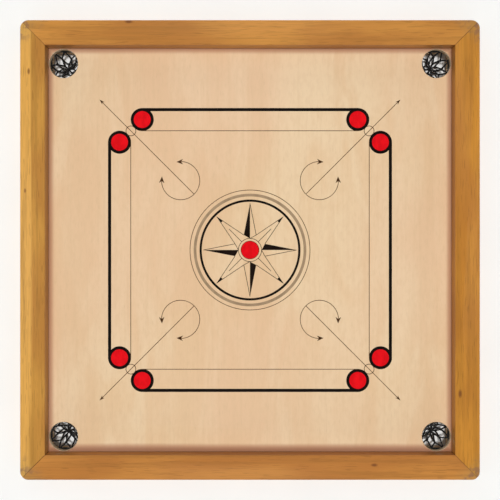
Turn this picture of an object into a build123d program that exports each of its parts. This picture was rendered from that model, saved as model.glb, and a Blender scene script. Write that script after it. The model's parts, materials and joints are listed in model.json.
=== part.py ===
from build123d import *
from math import cos, degrees, radians, sin, sqrt
import os

# Square carrom board, in millimetres. The frame stands on z = 0, with the board's centre on the
# Z axis. Front is -Y, back is +Y, left is -X and right is +X.

# Frame
board_width = 660.0  # outer side of the square frame
frame_height = 50.0
rail_width = 36.0
corner_radius = 12.0  # outer corners, seen from above
top_round = 3.0  # outer top edges
lip_round = 1.2  # inner top edges, where the coins rebound
foot_bevel = 1.0  # outer bottom edges

# Playing sheet
wall_rise = 19.0  # rebound wall above the playing surface
panel_thickness = 8.0
panel_bury = 12.0  # how far the sheet's edge runs under the rail's lip
panel_play = 0.3  # room for the sheet to swell, sideways and above
pocket_diameter = 42.0
pocket_edge = 1.0  # sheet left between a pocket and the frame

# Loose tongue glued into each mitre
key_width = 14.0  # along the mitre line
key_thickness = 6.0
key_clearance = 4.0  # wood between the groove's corner and the key
key_cover = 2.5  # wood left outside the key's outer corners
key_play = 0.3

# Two wire nails across each mitre
nail_diameter = 2.6
nail_length = 60.0
nail_point = 4.0
nail_head_diameter = 5.6
nail_head_rim = 0.4
nail_head_sink = 0.8  # height of the countersunk cone under the rim
nail_below = 12.0  # lower nail, under the sheet's underside
nail_above = 9.5  # upper nail, over the playing surface

# Lattice under the sheet
batten_width = 22.0
batten_floor_gap = 5.0  # between the lattice and the surface that the board stands on
batten_spacing = 220.0  # between the centrelines of a parallel pair
batten_housing = 8.0  # how far each end is let into its rail
batten_play = 0.2
screw_diameter = 3.5
screw_point = 3.0
screw_head_diameter = 7.0
screw_head_rim = 0.4
screw_head_sink = 2.4
screw_cover = 2.5  # sheet left over a screw's point
screw_inset = 84.0  # from the rebound wall to a batten's outer screws

# Pocket nets and the tacks through their hems
net_wall = 1.8
net_gap = 0.3  # between a net and the rails beside it
net_floor_gap = 1.5  # between a net and the surface that the board stands on
net_taper = 7.7  # how much narrower the bag is at its foot
net_base_round = 7.0
hem_width = 6.0  # beyond the pocket's edge
hem_thickness = 2.0
tack_setback = 3.3  # from the pocket's edge
tack_diameter = 1.6
tack_point = 1.5
tack_head_diameter = 4.4
tack_head_rim = 0.9
tack_cover = 2.0  # sheet left over a tack's point
tack_angles = (45, 135, 180, 225, 270, 315)  # degrees from +X at the back right pocket

# Printed film: lines and rings are given by their middle unless they say otherwise
ink_thickness = 0.1
thin_line = 0.9
thick_line = 4.6
base_radius = 16.8  # outside of a base circle's black ring
base_ring = 4.4
base_setback = 103.7  # from the rebound wall to a base circle's centre
base_step = 33.1  # how much nearer the middle a base circle stands along its line
corner_circle_lap = 0.6  # how far a corner circle runs under the base circles beside it
arrow_gap = 53.2  # from a pocket's edge to its arrow's tip
arrow_head = (8.0, 5.0)  # length and width
turn_gap = 27.7  # from the outer circle to a turning arrow
turn_radius = 27.9
turn_half_gap = 32.5  # degrees, on each side of the line to the corner
turn_head = (9.6, 8.0)
head_notch = 0.3  # share of a head's length that is cut into its back
outer_circle_radius = 87.5
brown_band_inset = 7.3  # inside the outer circle
brown_band_width = 4.0
black_ring_inset = 8.2  # inside the brown band
black_ring_width = 3.3
star_tip_gap = 2.35  # from the black ring
star_valley_radius = 23.6
star_solid_tip = 10.0  # length of a diagonal point that is filled in
star_spine_radius = 43.5
star_line = 0.8
centre_disc_radius = 12.8
centre_rim = 0.7
hub_gap = 3.0  # bare sheet round the centre disc's rim

# Worked out from the sizes above
half_width = board_width / 2
inner_half = half_width - rail_width
field_height = frame_height - wall_rise
panel_base = field_height - panel_thickness
pocket_radius = pocket_diameter / 2
pocket_reach = inner_half - pocket_edge - pocket_radius
net_radius = pocket_radius + pocket_edge - net_gap
batten_height = panel_base - batten_floor_gap
batten_reach = batten_spacing / 2
key_depth = panel_bury + (key_clearance + key_width / 2) / sqrt(2)  # in from the rebound walls
key_length = 2 * sqrt(2) * (rail_width - key_cover - key_depth) - key_width
key_height = (panel_base + field_height) / 2
base_reach = inner_half - base_setback
base_half_run = base_reach - base_step
corner_circle_reach = (base_reach + base_half_run) / 2
corner_circle_radius = base_step / sqrt(2) - base_radius + corner_circle_lap
arrow_tip_reach = pocket_reach - (pocket_radius + arrow_gap) / sqrt(2)
turn_reach = (outer_circle_radius + turn_gap + turn_radius) / sqrt(2)
turn_head_angle = degrees(turn_head[0] / turn_radius)
brown_band_radius = outer_circle_radius - brown_band_inset
black_ring_radius = brown_band_radius - black_ring_inset
star_tip_radius = black_ring_radius - black_ring_width / 2 - star_tip_gap
hub_circle_radius = centre_disc_radius + centre_rim + hub_gap + star_line / 2

corners = {
    "front_left": (-1, -1),
    "front_right": (1, -1),
    "back_left": (-1, 1),
    "back_right": (1, 1),
}
sides = {"front": 0, "right": 90, "back": 180, "left": 270}  # degrees about +Z from the front
quarters = (0, 90, 180, 270)
diagonals = (45, 135, 225, 315)


def block(low, high):
    """A box between two opposite corners."""
    size = [b - a for a, b in zip(low, high)]
    middle = [(a + b) / 2 for a, b in zip(low, high)]
    return Pos(*middle) * Box(*size)


def turned(shape, angle):
    """A shape turned about the board's centre."""
    return Rot(0, 0, angle) * shape


def fastener(diameter, length, point, head_diameter, rim, sink):
    """A pointed shank along +Z under its head, whose flat top is on z = 0."""
    outline = Polyline(
        (0, 0),
        (head_diameter / 2, 0),
        (head_diameter / 2, rim),
        (diameter / 2, rim + sink),
        (diameter / 2, length - point),
        (0, length),
        close=True,
    )
    return revolve(Plane.XZ * make_face(outline), Axis.Z)


def at_pocket(shape, corner):
    """A shape made about the Z axis for the back right pocket, mirrored to a corner's pocket."""
    side_x, side_y = corners[corner]
    if side_x < 0:
        shape = mirror(shape, about=Plane.YZ)
    if side_y < 0:
        shape = mirror(shape, about=Plane.XZ)
    return Pos(side_x * pocket_reach, side_y * pocket_reach, 0) * shape


# Fasteners


def corner_nails():
    """Two nails at each end of the left and right rails, driven along X into the other rails."""
    head = (nail_head_diameter, nail_head_rim, nail_head_sink)
    nail = fastener(nail_diameter, nail_length, nail_point, *head)
    inward = {-1: Rot(0, 90, 0) * nail, 1: Rot(0, -90, 0) * nail}
    line = half_width - rail_width / 2
    return [
        Pos(side_x * half_width, side_y * line, height) * inward[side_x]
        for side_x, side_y in corners.values()
        for height in (panel_base - nail_below, field_height + nail_above)
    ]


def batten_screws():
    """One screw at each crossing of the lattice and three more along each batten."""
    head = (screw_head_diameter, screw_head_rim, screw_head_sink)
    length = batten_height + panel_thickness - screw_cover
    screw = fastener(screw_diameter, length, screw_point, *head)
    reach = inner_half - screw_inset
    crossings = [(batten_reach * side_x, batten_reach * side_y) for side_x, side_y in corners.values()]
    along = [(x, y) for x in (-reach, 0, reach) for y in (-batten_reach, batten_reach)]
    across = [(x, y) for y, x in along]
    return [Pos(x, y, batten_floor_gap) * screw for x, y in crossings + along + across]


def net_tacks(corner):
    """The tacks that go up through a net's hem where the rails leave room for a hammer."""
    length = tack_head_rim + hem_thickness + panel_thickness - tack_cover
    tack = fastener(tack_diameter, length, tack_point, tack_head_diameter, tack_head_rim, 0)
    head_base = panel_base - hem_thickness - tack_head_rim
    return [
        at_pocket(Rot(0, 0, angle) * Pos(pocket_radius + tack_setback, 0, head_base) * tack, corner)
        for angle in tack_angles
    ]


# Lattice under the sheet


def batten_blank(angle, play=0.0):
    """One batten of the lattice, along X on the front side before it is turned by an angle."""
    reach = inner_half + batten_housing + play
    half = batten_width / 2 + play
    low = (-reach, -batten_reach - half, batten_floor_gap - play)
    return turned(block(low, (reach, -batten_reach + half, panel_base)), angle)


def batten(side):
    """The front and back battens are notched from below, the left and right ones from above."""
    runs_along_x = side in ("front", "back")
    middle = batten_floor_gap + batten_height / 2
    floor, roof = (batten_floor_gap, middle) if runs_along_x else (middle, panel_base)
    notches = block((-half_width, -half_width, floor), (half_width, half_width, roof))
    crossing = ("left", "right") if runs_along_x else ("front", "back")
    shape = batten_blank(sides[side])
    for other in crossing:
        low = (-inner_half, -batten_reach - batten_width / 2 - batten_play, floor)
        high = (inner_half, -batten_reach + batten_width / 2 + batten_play, roof)
        shape -= turned(block(low, high), sides[other]) & notches
    return shape - batten_screws()


# Playing sheet


def playing_panel():
    reach = inner_half + panel_bury - panel_play
    sheet = block((-reach, -reach, panel_base), (reach, reach, field_height))
    hole = Pos(0, 0, field_height) * Cylinder(pocket_radius, 3 * panel_thickness)
    sheet -= [at_pocket(hole, corner) for corner in corners]
    sheet -= [tack for corner in corners for tack in net_tacks(corner)]
    return sheet - batten_screws()


# Frame


def mitre_key(corner, play=0.0):
    """A flat tongue across the mitre, level with the sheet and outside its corner."""
    side_x, side_y = corners[corner]
    key = Box(key_width + 2 * play, key_length + 2 * play, key_thickness)
    angle = 45 if side_x == side_y else -45
    reach = inner_half + key_depth
    return Pos(side_x * reach, side_y * reach, key_height) * Rot(0, 0, angle) * key


def frame_blank():
    """The whole frame before it is parted at the mitres."""
    outline = RectangleRounded(board_width, board_width, corner_radius)
    frame = extrude(outline, frame_height)
    frame = fillet(frame.faces().sort_by(Axis.Z)[-1].edges(), top_round)
    frame = chamfer(frame.faces().sort_by(Axis.Z)[0].edges(), foot_bevel)
    frame -= block((-inner_half, -inner_half, 0), (inner_half, inner_half, frame_height))
    lip = frame.faces().sort_by(Axis.Z)[-1].inner_wires()[0]
    frame = fillet(lip.edges(), lip_round)
    groove_reach = inner_half + panel_bury
    groove_low = (-groove_reach, -groove_reach, panel_base)
    frame -= block(groove_low, (groove_reach, groove_reach, field_height + panel_play))
    frame -= [batten_blank(angle, batten_play) for angle in sides.values()]
    frame -= [mitre_key(corner, key_play) for corner in corners]
    return frame - corner_nails()


def rail(side, frame):
    """The part of the frame between two mitres."""
    wedge = make_face(Polyline((0, 0), (-half_width, -half_width), (half_width, -half_width), close=True))
    return frame & turned(extrude(wedge, frame_height), sides[side])


# Pocket nets


def net_cup(top_radius, base_round, base):
    """A tapered cup under the sheet, rounded at its foot."""
    height = panel_base - base
    cup = Pos(0, 0, base + height / 2) * Cone(top_radius - net_taper, top_radius, height)
    return fillet(cup.edges().sort_by(Axis.Z)[0], base_round)


def pocket_net(corner):
    """The bag's outer shape, open at the top, with the flat hem that the tacks go through."""
    hem = Cylinder(pocket_radius + hem_width, hem_thickness)
    hem = Pos(0, 0, panel_base - hem_thickness / 2) * hem
    hem &= block((-half_width, -half_width, 0), (net_radius, net_radius, panel_base))
    net = hem + net_cup(net_radius, net_base_round, net_floor_gap)
    net -= net_cup(net_radius - net_wall, net_base_round - net_wall, net_floor_gap + net_wall)
    return at_pocket(net, corner) - net_tacks(corner)


# Printed film


def disc(radius, x=0.0, y=0.0):
    return Pos(x, y) * Circle(radius)


def ring(radius, width, x=0.0, y=0.0):
    return disc(radius + width / 2, x, y) - disc(radius - width / 2, x, y)


def stroke(start, end, width):
    return trace(Line(start, end), width)


def polar(radius, angle, centre=(0.0, 0.0)):
    return (centre[0] + radius * cos(radians(angle)), centre[1] + radius * sin(radians(angle)))


def arrow_barb(tip, tail, width):
    """A solid arrowhead from tail to tip with a notched back."""
    run = Vector(*tip) - Vector(*tail)
    across = Vector(-run.Y, run.X).normalized() * (width / 2)
    notch = Vector(*tail) + run * head_notch
    return make_face(
        Polyline(Vector(*tip), Vector(*tail) + across, notch, Vector(*tail) - across, close=True)
    )


def base_circle_centres():
    """The centres of the two base circles at each side of the board."""
    return [
        polar(sqrt(base_reach**2 + base_half_run**2), angle)
        for quarter in quarters
        for angle in (
            quarter + Vector(base_reach, base_half_run).get_angle(Vector(1, 0)),
            quarter - Vector(base_reach, base_half_run).get_angle(Vector(1, 0)),
        )
    ]


def base_lines():
    """A thick and a thin line at each side, between its two ringed base circles."""
    thick_at = -(base_reach + base_radius - thick_line / 2)
    thin_at = -(base_reach - base_radius + thin_line / 2)
    lines = stroke((-base_half_run, thick_at), (base_half_run, thick_at), thick_line)
    lines += stroke((-base_half_run, thin_at), (base_half_run, thin_at), thin_line)
    for x in (-base_half_run, base_half_run):
        lines += disc(base_radius, x, -base_reach)
        lines -= disc(base_radius - base_ring, x, -base_reach)
    return [turned(lines, angle) for angle in quarters]


def base_discs():
    return [disc(base_radius - base_ring, x, y) for x, y in base_circle_centres()]


def corner_arrow():
    """The arrow to the back right pocket, the small circle on it and the arrow that turns back."""
    diagonal = 45
    tip = (arrow_tip_reach, arrow_tip_reach)
    tail = polar(arrow_head[0], diagonal + 180, tip)
    start = (turn_reach - turn_radius / sqrt(2), turn_reach - turn_radius / sqrt(2))
    notch = polar(arrow_head[0] * (1 - head_notch), diagonal + 180, tip)
    arrow = stroke(start, notch, thin_line) + arrow_barb(tip, tail, arrow_head[1])

    arrow += ring(corner_circle_radius, thin_line, corner_circle_reach, corner_circle_reach)
    for x, y in ((base_reach, base_half_run), (base_half_run, base_reach)):
        arrow -= disc(base_radius, x, y)

    centre = (turn_reach, turn_reach)
    arc_gap = turn_half_gap + turn_head_angle * (1 - head_notch)
    arc = CenterArc(centre, turn_radius, diagonal + arc_gap, 360 - 2 * arc_gap)
    arrow += trace(arc, thin_line)
    for side in (-1, 1):
        head_tip = polar(turn_radius, diagonal + side * turn_half_gap, centre)
        head_tail = polar(turn_radius, diagonal + side * (turn_half_gap + turn_head_angle), centre)
        arrow += arrow_barb(head_tip, head_tail, turn_head[1])
    return arrow


def star():
    """Eight points. Each of the four main ones is solid on its left and outlined on its right."""
    foot = hub_circle_radius
    half_turn = 180 / 8
    shape = ring(hub_circle_radius, star_line)
    for angle in quarters:
        tip = polar(star_tip_radius, angle)
        left = polar(star_valley_radius, angle + half_turn)
        right = polar(star_valley_radius, angle - half_turn)
        shape += make_face(Polyline(tip, left, polar(foot, angle), close=True))
        shape += trace(Polyline(tip, right, polar(foot, angle)), star_line)
    for angle in diagonals:
        tip = polar(star_tip_radius, angle)
        left = polar(star_valley_radius, angle + half_turn)
        right = polar(star_valley_radius, angle - half_turn)
        shape += trace(Polyline(left, tip, right), star_line)
        shape += stroke(polar(foot, angle), polar(star_spine_radius, angle), star_line)
        outline = make_face(Polyline(left, tip, right, close=True))
        shape += outline - disc(star_tip_radius - star_solid_tip)
    return shape & disc(star_tip_radius + star_tip_gap / 2)


def film(drawing):
    """Flat drawings given the thickness of the ink, lying on the playing surface."""
    if not isinstance(drawing, list):
        drawing = [drawing]
    return [extrude(Pos(0, 0, field_height) * flat, ink_thickness) for flat in drawing]


# Nodes

frame = frame_blank()
nodes = {"playing_panel": playing_panel()}
for side in sides:
    nodes[f"rail_{side}"] = rail(side, frame)
    nodes[f"batten_{side}"] = batten(side)
for corner in corners:
    nodes[f"mitre_key_{corner}"] = mitre_key(corner)
    nodes[f"pocket_net_{corner}"] = pocket_net(corner)
    nodes[f"net_tacks_{corner}"] = net_tacks(corner)
nodes["corner_nails"] = corner_nails()
nodes["batten_screws"] = batten_screws()
nodes["print_base_lines"] = film(base_lines())
nodes["print_base_discs"] = film(base_discs())
nodes["print_corner_arrows"] = film([turned(corner_arrow(), angle) for angle in quarters])
nodes["print_outer_circle"] = film(ring(outer_circle_radius, thin_line))
nodes["print_brown_band"] = film(ring(brown_band_radius, brown_band_width))
nodes["print_black_ring"] = film(ring(black_ring_radius, black_ring_width))
nodes["print_star"] = film(star())
nodes["print_disc_rim"] = film(ring(centre_disc_radius + centre_rim / 2, centre_rim))
nodes["print_centre_disc"] = film(disc(centre_disc_radius))

os.makedirs("parts", exist_ok=True)
for name, shape in nodes.items():
    if isinstance(shape, list):
        shape = Compound(children=[solid for piece in shape for solid in piece.solids()])
    export_step(shape, f"parts/{name}.step")
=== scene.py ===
"""Carrom board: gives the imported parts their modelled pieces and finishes, a floor, lights and a camera."""

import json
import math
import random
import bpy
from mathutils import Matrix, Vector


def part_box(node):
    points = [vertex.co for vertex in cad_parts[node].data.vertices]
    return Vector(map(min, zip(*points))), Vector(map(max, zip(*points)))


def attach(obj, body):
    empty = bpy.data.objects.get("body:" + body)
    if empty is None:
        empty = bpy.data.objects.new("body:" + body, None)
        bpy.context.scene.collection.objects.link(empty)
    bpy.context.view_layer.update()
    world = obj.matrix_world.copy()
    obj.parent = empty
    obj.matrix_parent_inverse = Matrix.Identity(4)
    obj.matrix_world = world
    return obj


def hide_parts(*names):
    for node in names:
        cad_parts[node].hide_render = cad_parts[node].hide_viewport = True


bl_info = {
    "name": "Carrom board",
    "version": (1, 0, 0),
    "blender": (4, 5, 0),
    "location": "3D View > Sidebar > Carrom board",
    "description": "Builds a carrom board's frame, sheet, printing, lattice and nets round its CAD parts",
    "category": "Add Mesh",
}

import bmesh
import bpy
from mathutils import Matrix, Vector

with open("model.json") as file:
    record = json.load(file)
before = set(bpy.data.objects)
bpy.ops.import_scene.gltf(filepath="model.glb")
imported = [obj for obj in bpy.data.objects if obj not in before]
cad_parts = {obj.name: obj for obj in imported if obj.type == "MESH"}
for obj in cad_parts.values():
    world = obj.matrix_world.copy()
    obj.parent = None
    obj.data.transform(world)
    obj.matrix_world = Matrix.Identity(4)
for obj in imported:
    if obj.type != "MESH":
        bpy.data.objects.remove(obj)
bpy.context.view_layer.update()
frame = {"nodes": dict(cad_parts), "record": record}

MM = 0.001
UP = Vector((0, 0, 1))
SIDES = {"front": 0, "right": 90, "back": 180, "left": 270}
CORNERS = {
    "front_left": (-1, -1),
    "front_right": (1, -1),
    "back_left": (-1, 1),
    "back_right": (1, 1),
}
NEAR = 0.01 * MM  # places closer together than this count as one
PAST = 1 * MM  # how far a cutting shape reaches past what it cuts

# Sizes that the CAD parts' boxes don't give. Shanks and holes are given by their radius.
KEY_WIDTH = 14 * MM
GLUE_PLAY = 0.3 * MM
BATTEN_PLAY = 0.2 * MM
NAIL_SHANK = 1.3 * MM
NAIL_HOLE = 1.35 * MM
NAIL_POINT = 4 * MM
NAIL_HEAD_DEPTH = 1.4 * MM
NAIL_HEAD_PLAY = 0.15 * MM
SCREW_SHANK = 1.75 * MM
SCREW_HOLE = 1.85 * MM
SCREW_POINT = 3 * MM
SCREW_SINK = 3.65 * MM
TACK_SHANK = 0.8 * MM
TACK_POINT = 1.5 * MM
KNOT_SIZE = 1.5 * MM
FOOT_KNOT_SIZE = 2.4 * MM
KNOT_CORD = 0.4  # radius of a knot's cord, as a share of the head cord's thickness


# Colours and sizes that a user would change


def linear(hex_colour):
    """The linear red, green and blue of an sRGB hex colour."""
    shares = [int(hex_colour[i : i + 2], 16) / 255 for i in (1, 3, 5)]
    return tuple(c / 12.92 if c <= 0.04045 else ((c + 0.055) / 1.055) ** 2.4 for c in shares)


def length_setting(name, description, default):
    """A setting for a size in metres."""
    return bpy.props.FloatProperty(
        name=name, description=description, default=default, min=0, unit="LENGTH"
    )


def colour_setting(name, description, default):
    """A setting for a colour, whose default is given in sRGB hex."""
    return bpy.props.FloatVectorProperty(
        name=name, description=description, default=linear(default), subtype="COLOR", min=0, max=1
    )


class FrameSettings(bpy.types.PropertyGroup):
    corner_radius: length_setting("Corner radius", "Rounding of the outer corners seen from above", 12 * MM)
    top_round: length_setting("Top rounding", "Rounding of the outer top edges", 3 * MM)
    lip_round: length_setting("Lip rounding", "Rounding of the inner top edges", 1.2 * MM)
    foot_bevel: length_setting("Foot bevel", "Bevel of the outer bottom edges", 1 * MM)
    seam: length_setting("Seam", "Easing of the edges at each mitre", 0.35 * MM)
    front_wood: colour_setting("Front wood", "Main colour of the front rail", "#BC7E3A")
    right_wood: colour_setting("Right wood", "Main colour of the right rail", "#BF812E")
    back_wood: colour_setting("Back wood", "Main colour of the back rail", "#C0843C")
    left_wood: colour_setting("Left wood", "Main colour of the left rail", "#BD883C")
    sapwood: colour_setting("Sapwood", "Colour of the pale stripe along the left rail", "#DCA450")
    key_wood: colour_setting("Key wood", "Colour of the plywood tongues in the mitres", "#C9A878")
    nail_steel: colour_setting("Nail steel", "Colour of the corner nails", "#8E8B86")


class SheetSettings(bpy.types.PropertyGroup):
    pocket_diameter: length_setting("Pocket diameter", "Width of the holes in the sheet", 42 * MM)
    pocket_round: length_setting("Pocket rounding", "Rounding of the holes' rims", 0.7 * MM)
    ply: length_setting("Ply", "Thickness of one layer of the plywood", 1.6 * MM)
    # Margin and front margin give the width of the band of painted shade along the rails, where their walls
    # shade the sheet
    margin: length_setting("Margin", "Width of the strip that the rails' varnish has run on to", 6.5 * MM)
    front_margin: length_setting("Front margin", "Width of that strip along the front rail", 10 * MM)
    veneer: colour_setting("Veneer", "Main colour of the face veneer", "#E7CBA5")
    streak: colour_setting("Streak", "Colour of the veneer's darker grain", "#DFBB91")
    black_ink: colour_setting("Black ink", "Colour of the printed lines", "#0C0705")
    thin_ink: colour_setting("Thin ink", "Colour of the thin lines", "#452A14")
    thin_reach: length_setting("Thin reach", "How far from the middle the thin base lines lie", 174.4 * MM)
    star_ink: colour_setting("Star ink", "Colour of the star and of the disc's rim", "#160C07")
    red_ink: colour_setting("Red ink", "Colour of the base circles and the centre disc", "#DC0A16")
    brown_ink: colour_setting("Brown ink", "Colour of the band in the centre circle", "#9C8468")


class LatticeSettings(bpy.types.PropertyGroup):
    edge: length_setting("Edge", "Easing of the battens' long edges", 0.8 * MM)
    pine: colour_setting("Pine", "Main colour of the battens", "#D2AC74")
    screw_zinc: colour_setting("Screw zinc", "Colour of the screws' zinc plating", "#C6C8CC")


class NetSettings(bpy.types.PropertyGroup):
    columns: bpy.props.IntProperty(
        name="Columns", description="Loops round each pocket", default=8, min=5, max=16
    )
    cord: length_setting("Cord", "Thickness of the net's cord", 2.4 * MM)
    head_cord: length_setting("Head cord", "Thickness of the two turns of cord at the net's top", 2.3 * MM)
    inner_turn: length_setting("Inner turn", "Reach of the inner turn of the head cord", 23.1 * MM)
    outer_turn: length_setting("Outer turn", "Reach of the outer turn of the head cord", 25.4 * MM)
    lay: length_setting("Lay", "Length of one turn of the cord's strands", 8 * MM)
    black: colour_setting("Cord black", "Colour of the cord", "#131110")
    tack_steel: colour_setting("Tack steel", "Colour of the tacks", "#8F9297")


class StageSettings(bpy.types.PropertyGroup):
    floor: colour_setting("Floor", "Colour of the floor", "#F6F6F4")
    camera_distance: length_setting("Camera distance", "From the camera to the board's top", 1010 * MM)
    camera_elevation: bpy.props.FloatProperty(
        name="Camera elevation",
        description="Angle of the camera's view above the floor",
        default=math.radians(90),
        min=0,
        max=math.radians(90),
        subtype="ANGLE",
        unit="ROTATION",
    )
    picture_width: length_setting("Picture width", "Width in view at the board's top", 716 * MM)


# Modelling


def pick_piece(piece):
    """Makes a piece the only one selected and the active one."""
    bpy.ops.object.select_all(action="DESELECT")
    piece.select_set(True)
    bpy.context.view_layer.objects.active = piece


def settle(piece, name):
    """Names a new primitive and moves its place into its mesh."""
    piece.name = piece.data.name = name
    pick_piece(piece)
    bpy.ops.object.transform_apply(location=True, rotation=True, scale=True)
    return piece


def block(name, low, high):
    """A cuboid between two corners."""
    low, high = Vector(low), Vector(high)
    bpy.ops.object.select_all(action="DESELECT")
    bpy.ops.mesh.primitive_cube_add(size=1, location=(low + high) / 2, scale=high - low)
    return settle(bpy.context.object, name)


def rod(name, radius, low, high, sides=96):
    """A cylinder between two points."""
    low, high = Vector(low), Vector(high)
    bpy.ops.object.select_all(action="DESELECT")
    bpy.ops.mesh.primitive_cylinder_add(
        vertices=sides, radius=radius, depth=(high - low).length, location=(low + high) / 2
    )
    tool = bpy.context.object
    tool.rotation_mode = "QUATERNION"
    tool.rotation_quaternion = (high - low).to_track_quat("Z", "Y")
    return settle(tool, name)


def select_by(kind, test):
    """Selects the vertices, edges or faces of the mesh in edit mode that pass a test."""
    bpy.ops.mesh.select_mode(type=kind)
    bpy.ops.mesh.select_all(action="DESELECT")
    mesh = bmesh.from_edit_mesh(bpy.context.object.data)
    for element in {"VERT": mesh.verts, "EDGE": mesh.edges, "FACE": mesh.faces}[kind]:
        if test(element):
            element.select_set(True)
    mesh.select_flush_mode()
    bmesh.update_edit_mesh(bpy.context.object.data)


def bevel_edges(piece, test, offset, segments):
    """Rounds the edges whose two ends both pass a test on their place."""
    pick_piece(piece)
    bpy.ops.object.mode_set(mode="EDIT")
    select_by("EDGE", lambda edge: all(test(v.co) for v in edge.verts))
    bpy.ops.mesh.bevel(offset=offset, segments=segments, affect="EDGES", clamp_overlap=False)
    bpy.ops.object.mode_set(mode="OBJECT")


def cut(piece, *tools):
    """Takes the tools' shapes out of a piece and removes the tools."""
    for tool in tools:
        pick_piece(piece)
        modifier = piece.modifiers.new("Cut", "BOOLEAN")
        modifier.operation = "DIFFERENCE"
        modifier.solver = "EXACT"
        modifier.object = tool
        bpy.ops.object.modifier_apply(modifier=modifier.name)
        bpy.data.meshes.remove(tool.data)
    return piece


def turned(name, outline, sides):
    """A shape of rings about the Z axis, given by the radius and height of each."""
    bpy.ops.object.select_all(action="DESELECT")
    radius, height = outline[0]
    bpy.ops.mesh.primitive_circle_add(
        vertices=sides, radius=radius, fill_type="NGON", location=(0, 0, height)
    )
    piece = settle(bpy.context.object, name)
    bpy.ops.object.mode_set(mode="EDIT")
    bpy.ops.mesh.select_mode(type="FACE")
    bpy.ops.mesh.select_all(action="SELECT")
    for next_radius, next_height in outline[1:]:
        rise = (0, 0, next_height - height)
        bpy.ops.mesh.extrude_region_move(TRANSFORM_OT_translate={"value": rise})
        share = next_radius / radius
        bpy.ops.transform.resize(value=(share, share, 1), center_override=(0, 0, next_height))
        radius, height = next_radius, next_height
    bpy.ops.mesh.select_all(action="SELECT")
    bpy.ops.mesh.normals_make_consistent(inside=False)
    bpy.ops.object.mode_set(mode="OBJECT")
    return piece


def copied(piece, name, placing=None):
    """A copy of a piece with its own mesh, moved by a matrix."""
    copy = piece.copy()
    copy.data = piece.data.copy()
    copy.name = copy.data.name = name
    bpy.context.scene.collection.objects.link(copy)
    if placing is not None:
        copy.data.transform(placing)
    return copy


def joined(pieces, name):
    """Several pieces as one."""
    pick_piece(pieces[0])
    for piece in pieces[1:]:
        piece.select_set(True)
    bpy.ops.object.join()
    piece = bpy.context.object
    piece.name = piece.data.name = name
    return piece


def driven(fastener, placings, name):
    """Copies of one fastener, one for each placing, as one piece."""
    pieces = [copied(fastener, f"{name}_{index}", placing) for index, placing in enumerate(placings)]
    return joined(pieces, name)


def smooth(piece, degrees=35):
    """Shades a piece smooth, except over edges sharper than an angle."""
    pick_piece(piece)
    bpy.ops.object.shade_smooth_by_angle(angle=math.radians(degrees))


def finished(piece, finish, slot, *nodes):
    """Gives a piece its finish, hides the CAD nodes it stands for and hangs it on the root body."""
    piece.data.materials.clear()
    piece.data.materials.append(finish)
    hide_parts(*nodes)
    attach(piece, "root")


def coated(node, finish):
    """Gives a carried-over CAD part its finish."""
    mesh = frame["nodes"][node].data
    mesh.materials.clear()
    mesh.materials.append(finish)


def loose_parts(node):
    """The lowest and highest corners of each separate solid in a CAD node."""
    mesh = bmesh.new()
    mesh.from_mesh(frame["nodes"][node].data)
    bmesh.ops.remove_doubles(mesh, verts=mesh.verts, dist=0.001 * MM)
    left = set(mesh.verts)
    boxes = []
    while left:
        solid = reached = {left.pop()}
        while reached:
            reached = {e.other_vert(v) for v in reached for e in v.link_edges} & left
            left -= reached
            solid = solid | reached
        low = Vector(min(v.co[k] for v in solid) for k in range(3))
        high = Vector(max(v.co[k] for v in solid) for k in range(3))
        boxes.append((low, high))
    mesh.free()
    return sorted(boxes, key=lambda box: tuple(round(x, 4) for x in box[0]))


def pocket_centre(corner):
    """The middle of a pocket on the sheet's underside."""
    for opening in frame["record"]["physics"]["openings"]:
        if opening["name"] == f"pocket_mouth_{corner}":
            low, high = opening["box_m"]
    return Vector(((low[0] + high[0]) / 2, (low[1] + high[1]) / 2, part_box("playing_panel")[0].z))


# Finishes. Noise lies mostly between 0.3 and 0.7, so most ramps start and end near there.

ORGANIC_IOR = 1.5  # varnish, lacquer, ink, wood and cotton all lie close to this
RED_BROWN_FIGURE = linear("#B4622C")
GLUE_LINE = linear("#5E3A20")
OLIVE_TIP = linear("#A08A52")
WOOD_FILLER = linear("#7C5A4C")
BARE_HARDWOOD = linear("#DDBE90")
WOOD_KNOT = linear("#6A3A1E")
PINK_FIGURE = linear("#E2B694")
# Painted shade: pinkish brown for the band along the rails, and a darker brown for the crease at their foot
PAINTED_WALL_SHADE = linear("#B07C5E")
PAINTED_CREASE_SHADE = linear("#84523A")
DARK_PLY = linear("#D3B083")
PALE_PLY = linear("#EAD6B4")
PLY_PORES = linear("#8E6438")
BARE_PLY = linear("#D8B27E")
WORN_INK = linear("#C9A27C")
NAIL_TARNISH = linear("#6E6258")
ZINC_TARNISH = linear("#9A9DA2")
TACK_TARNISH = linear("#4E4A48")
COTTON_LINT = linear("#2C2927")
COTTON_DUST = linear("#3A352F")


def add(tree, kind, settings, inputs):
    """Adds a node. An input is a value, or the output that feeds it."""
    node = tree.nodes.new(kind)
    for name, value in settings.items():
        setattr(node, name, value)
    for name, value in inputs.items():
        if isinstance(value, bpy.types.NodeSocket):
            tree.links.new(value, node.inputs[name])
        else:
            node.inputs[name].default_value = value
    return node


def new_finish(name):
    """An empty material, its shader and the object's own coordinates in metres."""
    material = bpy.data.materials.new(name)
    material.use_nodes = True
    tree = material.node_tree
    tree.nodes.clear()
    shader = add(tree, "ShaderNodeBsdfPrincipled", {}, {})
    add(tree, "ShaderNodeOutputMaterial", {}, {"Surface": shader.outputs["BSDF"]})
    place = add(tree, "ShaderNodeTexCoord", {}, {}).outputs["Object"]
    return material, tree, shader, place


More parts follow.
